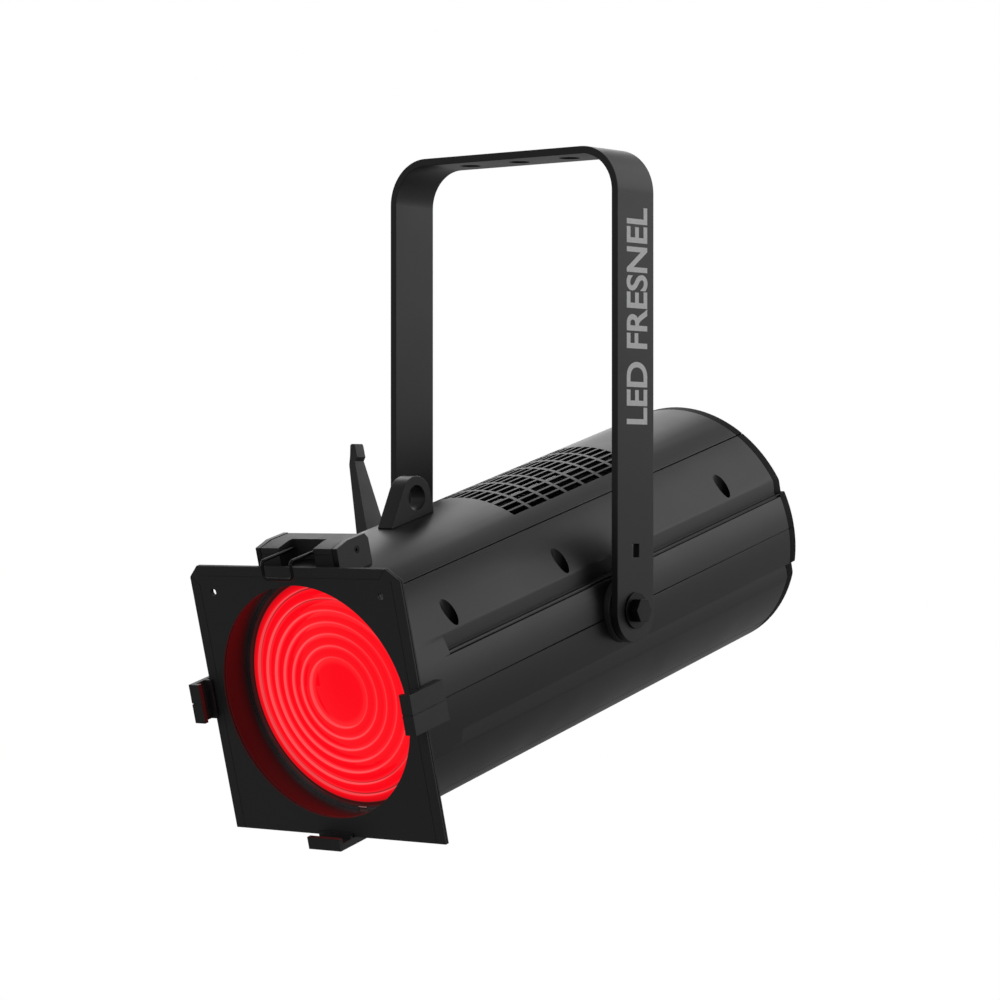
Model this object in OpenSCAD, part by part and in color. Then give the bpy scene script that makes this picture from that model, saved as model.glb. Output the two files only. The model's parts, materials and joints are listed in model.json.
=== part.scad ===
// Theatre Fresnel spotlight: an LED engine on a zoom carriage in a round body that hangs in a yoke.
// Row frame: the origin is the centre clamp hole on top of the yoke, +Z is up, the light leaves
// towards -Y. Inside head() the axes are [x, v, u]: across, up and forward along the optical axis.

/* [Yoke] */
// Width of the flat strap the yoke is bent from
strap_w = 43; // [30:1:60]
// Thickness of the strap
strap_t = 5.4; // [4:0.2:8]
// Pivot line below the top face of the crossbar
pivot_drop = 330; // [290:1:400]
// Outer radius of the two top bends
bend_r = 33; // [20:1:60]
// Gap between the body and the inside of each leg
side_gap = 5.1; // [4.5:0.1:20]
// How far the centre of each leg's round end sits below the pivot
leg_end = 1.5; // [0:0.5:10]
// Clamp holes in the crossbar
clamp_hole_d = 15; // [10:0.5:20]
// Spacing from the centre clamp hole to each outer one
clamp_hole_gap = 46; // [30:1:60]
// Window in each leg, along the strap's width
window_w = 8; // [4:0.5:14]
// Window in each leg, along the leg
window_h = 9.6; // [4:0.2:16]
// Window centre above the pivot
window_up = 42.3; // [32:0.5:80]

/* [Body] */
// Nose-down angle of the head as it is stored
tilt = 15; // [-30:1:60]
// Outside radius of the round body
body_r = 95; // [78:1:120]
// Wall of the body panels
shell_t = 2.5; // [2:0.1:4]
// Pivot to the front edge of the body
front_len = 226; // [180:1:280]
// Pivot to the rear edge of the body
rear_len = 225.4; // [180:0.5:280]
// Length of the rear rim
rim_len = 7.9; // [5:0.1:14]
// Gap between the panels and the rear rim
rim_gap = 0.3; // [0.2:0.1:1]
// Radial height of the rear rim
rim_h = 8.5; // [6:0.5:12]
// Seam between top cover and side panels, above the horizontal
seam_ang = 50.7; // [40:0.1:60]
// Gap at the seams of the top and bottom covers
seam_gap = 0.8; // [0.4:0.1:1.5]
// Gap between the upper and lower side panels
mid_gap = 0.4; // [0.3:0.1:1]
// Depth of the long flats below the round
flat_in = 7.9; // [5:0.1:12]
// Height of the ledge under each flat
flat_lo = 27.5; // [25.5:0.5:34]
// Front end of the flats, behind the body's front edge
flat_back = 37; // [30:1:60]
// Screw access holes
access_d = 10.7; // [7:0.1:13]
// Access hole centre in from the side of the body
access_in = 14.2; // [12:0.1:18]
// Middle access hole ahead of the pivot
access_mid = 44.7; // [38:0.1:80]

/* [Vents] */
// Vent slots along the body
vent_cols = 7; // [3:1:8]
// Vent slots around the body
vent_rows = 15; // [7:2:17]
// Slot length
slot_len = 18.1; // [8:0.1:25]
// Bar between two slots along the body
slot_bar = 3.3; // [2:0.1:8]
// Slot width around the body
slot_w = 5.1; // [3:0.1:7]
// Bar between two slots around the body
slot_rib = 1.6; // [1.2:0.1:4]
// Front end of the first slot ahead of the pivot
vent_front = 45.6; // [20:0.1:60]

/* [Optics] */
// Wall between the body and the lens bore
barrel_in = 9; // [8:0.5:14]
// Lens edge clearance in its barrel
lens_clear = 1.4; // [0.5:0.1:2]
// Lens rim height
lens_rim = 8; // [5:0.5:12]
// Lens seat behind the body's front edge
lens_seat = 33; // [28:1:36]
// Radius of the smooth middle of the lens
eye_r = 25.2; // [15:0.1:35]
// Width of one lens ring
ring_w = 8.25; // [4:0.05:12]

/* [Accessory holder] */
// Colour frame overhang past the body, each side
frame_lip = 0.25; // [0:0.05:3]
// Colour frame aperture in from the body
aperture_in = 12.5; // [11:0.5:20]
// Sheet of one colour frame leaf
leaf_t = 1.2; // [0.8:0.1:2]
// Space for the gel between the leaves
gel_gap = 0.6; // [0.3:0.1:1.5]
// Colour frame centre above the axis
frame_up = 0.8; // [0:0.1:3]
// Height of a holder clip
clip_h = 28; // [18:1:40]
// Width of the bottom clip
clip_w = 29; // [18:0.5:40]
// How far the bottom clip's lips reach over a frame
bottom_lip = 3.8; // [3:0.1:9]
// Wall of a holder clip
clip_t = 4.4; // [3:0.1:8]
// How far a clip's lips reach over a frame
clip_lip = 5; // [3:0.5:9]
// Rear slot of the holder
slot_a = 5.8; // [4.5:0.1:8]
// Divider between the two slots
slot_div = 2; // [1.5:0.1:4]
// Front slot of the holder
slot_b = 8.5; // [4:0.1:14]
// Front lip of the holder
lip_t = 3.5; // [2:0.1:6]
// Length of a clip's foot along the body
clip_foot = 15; // [8:1:30]
// Clearance of a frame in its holder
frame_clear = 0.7; // [0.3:0.1:1.5]

/* [Latch] */
// Half width of the latch housing
latch_x = 36.9; // [28:0.1:45]
// Wall of the latch housing
latch_wall = 4.2; // [2.5:0.1:6]
// Half width of the notch in the latch block
notch_x = 15.8; // [12:0.1:22]
// Latch front behind the body's front edge
latch_back = 4; // [2:0.5:12]
// Length of the latch housing
latch_len = 33; // [26:1:45]
// Top of the housing above the body
latch_top = 14.7; // [12:0.1:20]
// Wire of the retaining clip
wire_d = 2.3; // [1.6:0.1:3]
// Wire pivot above the body
wire_up = 8.8; // [6:0.1:10]

/* [Pivot] */
// Bolt and stud diameter
bolt_d = 10; // [8:0.5:12]
// Running clearance on the diameter
run_clear = 0.1; // [0.06:0.01:0.16]
// Radius of the pivot bosses
boss_r = 23; // [16:0.5:23]
// Friction disc thickness
disc_t = 1; // [0.5:0.1:2]
// Washer radius
washer_r = 13; // [10:0.5:16]
// Washer thickness
washer_t = 1.55; // [1:0.05:3]
// Hexagon across its flats
hex_af = 16; // [13:1:19]
// Hexagon height
hex_h = 6.4; // [5:0.1:9]
// Lever hub radius
hub_r = 16; // [12:0.5:22]
// Thickness of the clamp lever
lever_t = 9.5; // [6:0.5:16]

/* [LED engine] */
// Front face of the carriage plate ahead of the pivot
carriage_u = 61; // [40:1:90]
// Carriage plate thickness
carriage_t = 3; // [2:0.5:6]
// Guide rod and lead screw diameter
rod_d = 8; // [6:0.5:10]
// Guide rods in from the body
rod_in = 16; // [14:0.5:22]
// Bush outside radius
bush_r = 8; // [6.5:0.5:9]
// Heat sink fin depth
fin_h = 34; // [20:1:45]
// Number of fins
fin_n = 15; // [9:2:21]
// Fan depth
fan_t = 25; // [20:1:32]
// Rear bulkhead behind the pivot
bulk_rear = 112; // [100:1:130]

/* [Rear] */
// Menu button diameter
button_d = 9; // [6:0.5:12]
// Spacing of the menu buttons
button_gap = 18; // [14:1:22]
// Button clearance on the diameter
button_clear = 0.4; // [0.3:0.1:1]

/* [Hidden] */
$fn = 96;
e = 0.05;
yoke_in = body_r + side_gap;
yoke_out = yoke_in + strap_t;
shell_i = body_r - shell_t;
u_rear = -(rear_len - rim_len - rim_gap);
flat_x = body_r - flat_in;
flat_front = front_len - flat_back;
access_x = body_r - access_in;
post_d = access_d + 3.3;
screw_d = 5;
screw_seat = 8;
seam_deg = seam_gap / 2 / body_r * 180 / PI;
mid_deg = mid_gap / 2 / body_r * 180 / PI;
slot_ang = (slot_w + slot_rib) / body_r * 180 / PI;
barrel_r = body_r - barrel_in;
lens_r = barrel_r - lens_clear;
lens_u = front_len - lens_seat;
rim_u = lens_u + lens_rim;
rings = floor((lens_r - 3 - eye_r) / ring_w);
aperture_r = body_r - aperture_in;
frame_h = body_r + frame_lip;
frame_t = 2 * leaf_t + gel_gap;
frame_u = front_len + 0.6 + 0.8;
clip_x = frame_h + frame_clear;
clip_out = clip_x + clip_t;
slot_u = front_len + 0.6;
div_u = slot_u + slot_a;
lip_u = div_u + slot_div + slot_b;
clip_u = lip_u + lip_t;
frame_bot = frame_up - frame_h;
latch_u = front_len - latch_back;
wire_v = body_r + wire_up;
wire_u = latch_u - 12;
wire_x = 13;
wire_reach = clip_u - 2.9 - wire_u;
wire_hook = 12.3;
wire_bend = 3.2;
boss_face = yoke_in - disc_t - 2 * e;
hex_u = yoke_out + e + washer_t;
rod_pitch = body_r - rod_in;
rod_xy = rod_pitch * cos(45);
rods = [[0, rod_pitch], [-rod_xy, -rod_xy], [rod_xy, -rod_xy]];
screw_v = -(body_r - 33);
heat_w = 2 * (rod_xy - bush_r - 3);
bulk_front = flat_front - 8;
bulk_t = 3;
access_rear = max(rear_len - 66.2, bulk_rear + bulk_t + post_d / 2 + 0.6);
access_u = [front_len - 55.3, access_mid, -access_rear];
bulk_r = shell_i - 0.3;
flat_clear = flat_x - shell_t - 0.2;
rail_x = body_r - 29;
rail_w = 6;
shank_end = rail_x + rail_w + 8;
engine_back = carriage_u - carriage_t;
sink_back = engine_back - 6 - fin_h;
fan_back = sink_back - fan_t;
panel_t = 3;
cap_u = u_rear - rim_gap;
panel_u = cap_u + panel_t;
psu_rear = -(rear_len - 33);
lug_u = 98.5;
lug_v = body_r + 14;
lug_r = 15.5;
lug_hole = 17.5;
lug_t = 13;
lug_foot = 31.5;

// ---- frames and shared shapes ----

module at_pivot() {
    translate([0, 0, -pivot_drop]) children();
}

module head() {
    at_pivot() rotate([90 + tilt, 0, 0]) children();
}

// a tube about the optical axis
module ring(ro, ri, u0, u1) {
    rotate_extrude() translate([ri, u0]) square([ro - ri, u1 - u0]);
}

// part of a tube, between two angles
module sector(ro, ri, u0, u1, a0, a1) {
    rotate([0, 0, a0]) rotate_extrude(angle = a1 - a0) translate([ri, u0]) square([ro - ri, u1 - u0]);
}

module disc(r, u0, u1) {
    translate([0, 0, u0]) cylinder(r = r, h = u1 - u0);
}

// a rod across the body, from x0 to x1
module across(r, x0, x1) {
    translate([x0, 0, 0]) rotate([0, 90, 0]) cylinder(r = r, h = x1 - x0);
}

// a rod upwards, from v0 to v1
module upright(r, v0, v1) {
    translate([0, v0, 0]) rotate([-90, 0, 0]) cylinder(r = r, h = v1 - v0);
}

module block(x0, x1, v0, v1, u0, u1) {
    translate([x0, v0, u0]) cube([x1 - x0, v1 - v0, u1 - u0]);
}

// a side view outline [u, v], given thickness across from x0 to x1
module side_view(x0, x1) {
    translate([x0, 0, 0]) rotate([0, -90, 0]) mirror([0, 0, 1]) linear_extrude(x1 - x0) children();
}

function arc(cx, cy, r, a0, a1, n) = [for (i = [0:n]) let (a = a0 + (a1 - a0) * i / n)
    [cx + r * cos(a), cy + r * sin(a)]];

// ---- yoke ----

module strap_bend() {
    translate([yoke_out - bend_r, 0, -bend_r]) rotate([90, 0, 0])
        translate([0, 0, -strap_w / 2]) rotate_extrude(angle = 90)
            translate([bend_r - strap_t, 0]) square([strap_t, strap_w]);
}

module leg() {
    difference() {
        union() {
            translate([yoke_in, -strap_w / 2, -pivot_drop - leg_end])
                cube([strap_t, strap_w, pivot_drop + leg_end - bend_r]);
            translate([yoke_in, 0, -pivot_drop - leg_end]) rotate([90, 0, 0]) rotate([0, 90, 0])
                rotate([0, 0, 180]) rotate_extrude(angle = 180) square([strap_w / 2, strap_t]);
            strap_bend();
        }
        at_pivot() across((bolt_d + run_clear) / 2, yoke_in - 5, yoke_out + 5);
        translate([yoke_in - 5, -window_w / 2, -pivot_drop + window_up - window_h / 2])
            cube([strap_t + 10, window_w, window_h]);
    }
}

module yoke() {
    bar = yoke_out - bend_r;
    color("#3b3b3d") difference() {
        union() {
            translate([-bar, -strap_w / 2, -strap_t]) cube([2 * bar, strap_w, strap_t]);
            leg();
            mirror([1, 0, 0]) leg();
        }
        for (x = [-clamp_hole_gap, 0, clamp_hole_gap])
            translate([x, 0, -strap_t - 5]) cylinder(d = clamp_hole_d, h = strap_t + 10);
    }
}

// ---- body panels ----

module vents(cols, rows, mid) {
    for (i = [0:cols - 1]) for (j = [0:rows - 1])
        rotate([0, 0, mid + (j - (rows - 1) / 2) * slot_ang])
            translate([shell_i - 2, -slot_w / 2, vent_front - i * (slot_len + slot_bar) - slot_len])
                cube([shell_t + 4, slot_w, slot_len]);
}

module top_cover() {
    color("#3a3a3c") head() difference() {
        sector(body_r, shell_i, u_rear, front_len, seam_ang + seam_deg, 180 - seam_ang - seam_deg);
        vents(vent_cols, vent_rows, 90);
    }
}

module bottom_cover() {
    color("#353537") head() difference() {
        sector(body_r, shell_i, u_rear, front_len, 180 + seam_ang + seam_deg, 360 - seam_ang - seam_deg);
        vents(vent_cols - 2, 9, 270);
    }
}

// One upper side panel. The lower one is its mirror, without the access holes.
module side_panel(upper) {
    difference() {
        union() {
            sector(body_r, shell_i, u_rear, front_len, mid_deg, seam_ang - seam_deg);
            intersection() {
                block(flat_x - shell_t, body_r, flat_lo - 3.2, flat_lo + 16,
                    u_rear + 0.5, flat_front + shell_t);
                disc(body_r - 0.4, u_rear, front_len);
            }
            intersection() {
                for (u = access_u) translate([access_x, 0, u]) upright(post_d / 2, mid_gap / 2, body_r);
                disc(body_r - 0.6, u_rear, front_len);
            }
        }
        block(flat_x, body_r + 5, flat_lo, flat_lo + 24, u_rear - 5, flat_front);
        if (upper) block(flat_x + 2.4, body_r + 5, flat_lo - 2.3, flat_lo - 0.9, u_rear - 5, flat_front);
        across(boss_r + 0.2, access_x - 10, body_r + 5);
        for (u = access_u) translate([access_x, 0, u]) {
            if (upper) {
                upright(access_d / 2, screw_seat, body_r);
                upright(screw_d / 2 + 0.15, -1, screw_seat + 1);
            } else {
                upright(screw_d / 2 + e, -1, 14);
            }
        }
    }
}

module side_upper_right() {
    color("#444446") head() side_panel(true);
}

module side_upper_left() {
    color("#444446") head() mirror([1, 0, 0]) side_panel(true);
}

module side_lower_right() {
    color("#3c3c3e") head() mirror([0, 1, 0]) side_panel(false);
}

module side_lower_left() {
    color("#3c3c3e") head() mirror([1, 0, 0]) mirror([0, 1, 0]) side_panel(false);
}

module panel_screws() {
    color("#8b8d90") head() for (s = [-1, 1]) for (u = access_u)
        translate([s * access_x, 0, u]) difference() {
            union() {
                upright(4.4, screw_seat, screw_seat + 4.5);
                upright(screw_d / 2, -12, screw_seat);
            }
            translate([0, screw_seat + 2, 0]) rotate([-90, 0, 0]) cylinder(d = 4.6, h = 4, $fn = 6);
        }
}

// ---- front: barrel, lens, accessory holder ----

module lens_barrel() {
    f0 = max(flat_front + shell_t + 0.2, lens_u - 2);
    color("#2b2b2d") head() rotate_extrude() polygon([
        [barrel_r - 5, lens_u - 3], [barrel_r + 1.5, lens_u - 3], [barrel_r + 1.5, f0], [shell_i - e, f0],
        [shell_i - e, f0 + 2.5], [barrel_r + 2.5, f0 + 2.5], [barrel_r + 2.5, front_len - 4],
        [shell_i - e, front_len - 4], [shell_i - e, front_len], [barrel_r, front_len],
        [barrel_r, lens_u - 1], [barrel_r - 5, lens_u - 1]
    ]);
}

module lens_gasket() {
    color("#171718") head() ring(lens_r, barrel_r - 4.5, lens_u - 1, lens_u);
}

// ring k of the lens: its ridge stands at the inner edge and falls outwards
function ridge(k) = rim_u + 4.8 - 0.45 * k;
function fall(k) = 1.6 + 0.25 * k;

module fresnel_lens() {
    eye = [for (i = [0:10]) [eye_r * i / 10, ridge(0) + 3.4 * (1 - i * i / 100) - 2.2]];
    teeth = [for (k = [0:rings - 1]) each [
        [eye_r + ring_w * k, ridge(k)], [eye_r + ring_w * (k + 1), ridge(k) - fall(k)]]];
    color([0.9, 0.12, 0.14, 0.8]) head() rotate_extrude() polygon(concat(
        [[0, lens_u]], eye, teeth,
        [[eye_r + ring_w * rings, rim_u], [lens_r, rim_u], [lens_r, lens_u]]));
}

module lens_ring() {
    color("#55575a") head() difference() {
        ring(barrel_r - e, lens_r - 1.4, rim_u, rim_u + 1.4);
        rotate([0, 0, -90]) block(lens_r - 4, body_r, -4, 4, rim_u - 1, rim_u + 3);
    }
}

// A clip outside the body at x, as wide as v0 to v1, with its foot on the shell and two slots
module clip(out, base, lip, v0, v1) {
    difference() {
        block(base - lip, out, v0, v1, front_len - clip_foot, clip_u);
        disc(body_r + 0.02, front_len - clip_foot - 5, slot_u);
        block(base - lip - 5, base, v0 - 5, v1 + 5, front_len - clip_foot - 5, div_u);
        block(base - lip - 5, base, v0 - 5, v1 + 5, div_u + slot_div, lip_u);
    }
    intersection() {
        block(body_r - 8, out, v0, v1, front_len - clip_foot, front_len);
        ring(body_r + 20, body_r + 0.02, 0, front_len);
    }
}

module side_clip() {
    difference() {
        clip(clip_out, clip_x, clip_lip, frame_up - clip_h / 2, frame_up + clip_h / 2);
        block(clip_out - 0.6, clip_out + 5, frame_up - 0.35, frame_up + 0.35, 0, clip_u + 5);
        block(0, clip_out + 5, frame_up - 0.35, frame_up + 0.35, clip_u - 0.6, clip_u + 5);
    }
}

module frame_clip_right() {
    color("#3e3e40") head() side_clip();
}

module frame_clip_left() {
    color("#3e3e40") head() mirror([1, 0, 0]) side_clip();
}

module frame_clip_bottom() {
    base = -frame_bot + 0.1;
    color("#3e3e40") head() rotate([0, 0, -90]) difference() {
        clip(base + clip_t + 0.4, base, bottom_lip, -clip_w / 2, clip_w / 2);
        block(0, base + 0.05, -50, 50, front_len + 0.02, div_u);
    }
}

// a shallow groove on the front of a leaf, from [x, v] at an angle
module crease(x, v, ang, len, u) {
    translate([x, frame_up + v, u - 0.3]) rotate([0, 0, ang]) translate([0, -0.2, 0]) cube([len, 0.4, 1]);
}

module leaf(u0, hem) {
    c = 8;
    f = frame_h;
    u1 = u0 + leaf_t;
    difference() {
        translate([0, frame_up, u0]) linear_extrude(leaf_t) difference() {
            polygon([[-f, -f], [f, -f], [f, f - c], [f - c - 3.4, f], [-f + c, f], [-f, f - c]]);
            circle(r = aperture_r);
            for (s = [-1, 1]) translate([s * (f - 19.5), f - 18.8]) circle(d = 5);
        }
        if (hem) {
            crease(-f + c, -f - 1, 90, 2 * f - 12.8, u1);
            crease(-f - 1, f - c + 0.7, -35, 11, u1);
            crease(f - c, -f - 1, 90, 2 * f - 7, u1);
            crease(-f + c, f - 7.2, 0, 2 * f - 26, u1);
            crease(f - 18, f - 7.2, 47.7, 11, u1);
        }
    }
}

module frame_leaf_front() {
    color("#303032") head() leaf(frame_u + leaf_t + gel_gap, true);
}

module frame_leaf_back() {
    color("#2c2c2e") head() difference() {
        union() {
            leaf(frame_u, false);
            translate([0, frame_up, 0]) for (x = [-1, 1]) for (y = [-1, 1])
                translate([x * (frame_h - 5), y * (frame_h - 14), frame_u + leaf_t - 0.2])
                    cylinder(r = 2, h = gel_gap + 0.2);
        }
    }
}

// ---- top latch ----

module latch_bracket() {
    top = body_r + latch_top;
    outline = [[latch_u, body_r - 12], [latch_u, top - 2.8], [latch_u - 12, top],
        [latch_u - latch_len + 3, top], [latch_u - latch_len, top - 4], [latch_u - latch_len, body_r - 12]];
    color("#3f3f41") head() difference() {
        side_view(-latch_x, latch_x) polygon(outline);
        side_view(-latch_x + latch_wall, latch_x - latch_wall)
            polygon([[latch_u + 5, body_r - 15], [latch_u + 5, top + 5],
                [latch_u - latch_len + 2.6, top + 5], [latch_u - latch_len + 2.6, body_r - 15]]);
        disc(body_r + 0.02, 0, front_len + 5);
        for (s = [-1, 1]) translate([0, body_r + 5.9, latch_u - 19.5]) {
            across(1.6, s * latch_x - 6, s * latch_x + 6);
            across(2.6, s > 0 ? latch_x - 2 : -latch_x - 5, s > 0 ? latch_x + 5 : -latch_x + 2);
        }
    }
}

module latch_block() {
    top = body_r + latch_top;
    w = latch_x - latch_wall - 0.5;
    groove = body_r + latch_top / 2;
    color("#39393b") head() difference() {
        side_view(-w, w) polygon([[latch_u, body_r - 12], [latch_u, top - 2.8], [latch_u - 12, top - 0.4],
            [latch_u - latch_len + 3.1, top - 0.4], [latch_u - latch_len + 3.1, body_r - 12]]);
        block(-notch_x, notch_x, body_r - 15, top + 5, latch_u - 15.5, latch_u + 5);
        block(-w - 1, w + 1, groove, groove + 0.6, latch_u - 0.6, latch_u + 1);
        disc(body_r + 0.02, 0, front_len + 5);
        translate([0, wire_v, wire_u]) across((wire_d + run_clear) / 2, -notch_x - 8, notch_x + 8);
        translate([0, body_r + 5.9, latch_u - 19.5]) across(1.6, -latch_x, latch_x);
    }
}

module latch_screws() {
    color("#2a2a2c") head() for (s = [-1, 1]) mirror([s < 0 ? 1 : 0, 0, 0])
        translate([0, body_r + 5.9, latch_u - 19.5]) difference() {
            union() {
                across(2.5, latch_x - 1.95, latch_x - 0.2);
                across(1.5, latch_x - 14, latch_x - 1.9);
            }
            translate([latch_x - 1.2, 0, 0]) rotate([0, 90, 0]) cylinder(d = 2.6, h = 4, $fn = 6);
        }
}

module wire_half() {
    r = wire_d / 2;
    u1 = wire_u + wire_reach;
    v1 = wire_v - wire_hook;
    b = wire_bend;
    translate([0, wire_v, wire_u]) across(r, wire_x, notch_x + 6);
    translate([wire_x, wire_v, wire_u - 0.001]) cylinder(r = r, h = wire_reach - b + 0.001);
    translate([wire_x, wire_v, wire_u]) sphere(r = r);
    translate([wire_x, wire_v - b, u1 - b]) rotate([0, -90, 0]) rotate_extrude(angle = 90)
        translate([b, 0]) circle(r = r);
    translate([wire_x, 0, u1]) upright(r, v1 + b, wire_v - b);
    translate([wire_x - b, v1 + b, u1]) rotate([0, 0, -90]) rotate_extrude(angle = 90)
        translate([b, 0]) circle(r = r);
    translate([0, v1, u1]) across(r, 0, wire_x - b);
}

module latch_wire() {
    color("#2a2a2c") head() union() {
        wire_half();
        mirror([1, 0, 0]) wire_half();
    }
}

// an eye whose front edge falls straight from its round top to a long foot
module safety_lug() {
    drop = lug_v - body_r - 0.8;
    top = acos(lug_r / norm([lug_foot, drop])) - atan2(drop, lug_foot);
    outline = concat(
        [[lug_u - lug_r, body_r - 4], [lug_u + lug_foot, body_r - 4], [lug_u + lug_foot, body_r + 0.8]],
        arc(lug_u, lug_v, lug_r, top, 180, 12));
    color("#48484a") head() difference() {
        side_view(-lug_t / 2, lug_t / 2) polygon(outline);
        disc(body_r + 0.02, 0, front_len);
        translate([0, lug_v, lug_u]) across(lug_hole / 2, -lug_t, lug_t);
    }
}

// ---- chassis and pivots ----

module flats(u0, u1) {
    intersection() {
        children();
        block(-flat_clear, flat_clear, -body_r, body_r, u0, u1);
    }
}

module rod_holes(clear) {
    for (p = rods) translate([p[0], p[1], -300]) cylinder(d = rod_d + clear, h = 600);
}

module front_bulkhead() {
    color("#9a9c9f") head() difference() {
        flats(bulk_front, bulk_front + bulk_t) disc(bulk_r, bulk_front, bulk_front + bulk_t);
        disc(rod_pitch - 6, bulk_front - 1, bulk_front + bulk_t + 1);
        rod_holes(2 * e);
    }
}

module rear_bulkhead() {
    color("#9a9c9f") head() difference() {
        flats(-bulk_rear - bulk_t, -bulk_rear) disc(bulk_r, -bulk_rear - bulk_t, -bulk_rear);
        rod_holes(2 * e);
        translate([0, screw_v, -bulk_rear - 10]) cylinder(r = 11.3, h = 20);
        for (s = [-1, 1]) block(s * 40 - 12, s * 40 + 12, 30, 50, -bulk_rear - 10, -bulk_rear + 10);
    }
}

module side_rails() {
    color("#8f9194") head() for (s = [-1, 1]) difference() {
        mirror([s < 0 ? 1 : 0, 0, 0]) block(rail_x, rail_x + rail_w, -15, 15, -bulk_rear + e, bulk_front - e);
        for (u = [-80, -50, 60, 90, 120])
            translate([0, 0, u]) across(8, s * (rail_x + 3) - 10, s * (rail_x + 3) + 10);
    }
}

module pivot_boss() {
    difference() {
        union() {
            across(14, rail_x + rail_w, flat_x);
            across(boss_r, flat_x, boss_face);
        }
        across((bolt_d + run_clear) / 2, rail_x, yoke_out);
    }
}

module pivot_boss_right() {
    color("#2f2f31") head() pivot_boss();
}

module pivot_boss_left() {
    color("#2f2f31") head() mirror([1, 0, 0]) pivot_boss();
}

module friction_discs() {
    color("#5b4a3a") head() for (s = [0, 1]) mirror([s, 0, 0]) difference() {
        across(20, boss_face, boss_face + disc_t + e);
        across(bolt_d / 2 + 0.3, boss_face - 5, yoke_out);
    }
}

module pivot_bolt() {
    color("#2a2a2c") at_pivot() union() {
        across(bolt_d / 2, shank_end, hex_u);
        translate([hex_u, 0, 0]) rotate([0, 90, 0]) rotate([0, 0, 90])
            cylinder(r = hex_af / 2 / cos(30), h = hex_h, $fn = 6);
    }
}

module pivot_washer() {
    color("#333335") at_pivot() difference() {
        across(washer_r, yoke_out + e, hex_u);
        across(bolt_d / 2 + 0.3, yoke_out - 5, hex_u + 5);
    }
}

module clamp_stud() {
    color("#8b8d90") at_pivot() mirror([1, 0, 0]) union() {
        across(bolt_d / 2, shank_end, hex_u + 6);
        across(washer_r, yoke_out + e, hex_u);
    }
}

// lever outline [x, z] from the washer's face, leaning away from the yoke to a lipped grip
module lever_plan() {
    polygon([[2.2, -9], [13.5, -9], [15, 8], [38.4, 40], [53.5, 104.7], [53.1, 119.4], [51.9, 120.6],
        [49.3, 120.6], [48.3, 119.6], [46.1, 110.6], [48.1, 107.6], [27.4, 44], [3.4, 12], [2.2, 8]]);
}

// lever outline [y, z], widening from the grip down to the hub
module lever_taper() {
    polygon([[-hub_r, -9], [hub_r, -9], [hub_r, 4], [lever_t / 2, 112], [lever_t / 2, 122],
        [-lever_t / 2, 122], [-lever_t / 2, 112], [-hub_r, 4]]);
}

module clamp_lever() {
    color("#2c2c2e") at_pivot() mirror([1, 0, 0]) difference() {
        union() {
            across(hub_r, hex_u + e, hex_u + 13.7);
            intersection() {
                translate([hex_u, hub_r, 0]) rotate([90, 0, 0]) linear_extrude(2 * hub_r) lever_plan();
                translate([hex_u, 0, 0]) rotate([90, 0, 90]) linear_extrude(60) lever_taper();
            }
        }
        across(bolt_d / 2 + e, hex_u - 5, hex_u + 6.2);
    }
}

// ---- LED engine on its carriage ----

module carriage_plate() {
    color("#a5a7aa") head() difference() {
        union() {
            disc(rod_pitch - 20, engine_back, carriage_u);
            for (p = rods) translate([p[0], p[1], engine_back]) cylinder(r = bush_r + 2, h = carriage_t);
            for (a = [90, 225, 315]) rotate([0, 0, a])
                block(rod_pitch - 30, rod_pitch, -6, 6, engine_back, carriage_u);
        }
        for (p = rods) translate([p[0], p[1], engine_back - 1])
            cylinder(r = bush_r - 2 + e, h = carriage_t + 2);
        translate([0, screw_v, engine_back - 1]) cylinder(r = 6.2 + e, h = carriage_t + 2);
    }
}

module carriage_bushes() {
    color("#b08d4a") head() for (p = rods) translate([p[0], p[1], 0]) difference() {
        union() {
            disc(bush_r - 2, engine_back - 6, carriage_u + 6);
            disc(bush_r, carriage_u, carriage_u + 2);
        }
        disc((rod_d + run_clear) / 2, engine_back - 10, carriage_u + 10);
    }
}

module drive_nut() {
    color("#b08d4a") head() translate([0, screw_v, 0]) difference() {
        union() {
            disc(6.2, engine_back - 10, carriage_u);
            disc(9, carriage_u, carriage_u + 3);
        }
        disc((rod_d + run_clear) / 2, engine_back - 20, carriage_u + 10);
    }
}

module led_board() {
    color("#d8d8d2") head() block(-30, 30, -30, 30, carriage_u, carriage_u + 1.6);
}

module led_emitters() {
    color("#e2302c") head() union() {
        for (r = [[0, 1], [9, 6], [18, 12]]) for (k = [0:r[1] - 1]) rotate([0, 0, 360 / r[1] * k])
            translate([r[0], 0, 0]) disc(3.4, carriage_u + 1.6, carriage_u + 3.8);
    }
}

module collector_optic() {
    u0 = carriage_u + 1.6;
    color("#c9ccd0") head() rotate_extrude() polygon([
        [23, u0], [25.5, u0], [36, u0 + 26], [36, u0 + 30], [33.5, u0 + 30], [33.5, u0 + 26.4],
        [23, u0 + 2]]);
}

module heatsink() {
    w = heat_w / 2;
    pitch = (heat_w - 2) / (fin_n - 1);
    color("#77797c") head() union() {
        block(-w, w, -w, w, engine_back - 6, engine_back);
        for (i = [0:fin_n - 1])
            block(-w + i * pitch, -w + i * pitch + 2, -w, w, sink_back, engine_back - 5.9);
    }
}

module fan_frame() {
    w = heat_w / 2;
    color("#1d1d1f") head() difference() {
        block(-w, w, -w, w, fan_back, sink_back);
        difference() {
            disc(w - 3, fan_back - 1, sink_back + 1);
            disc(18, fan_back - 2, fan_back + 3);
            for (a = [45, 135]) rotate([0, 0, a]) block(-w, w, -2, 2, fan_back, fan_back + 3);
        }
        for (x = [-1, 1]) for (y = [-1, 1]) translate([x * (w - 5), y * (w - 5), fan_back - 1])
            cylinder(d = 4.5, h = fan_t + 2);
    }
}

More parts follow.
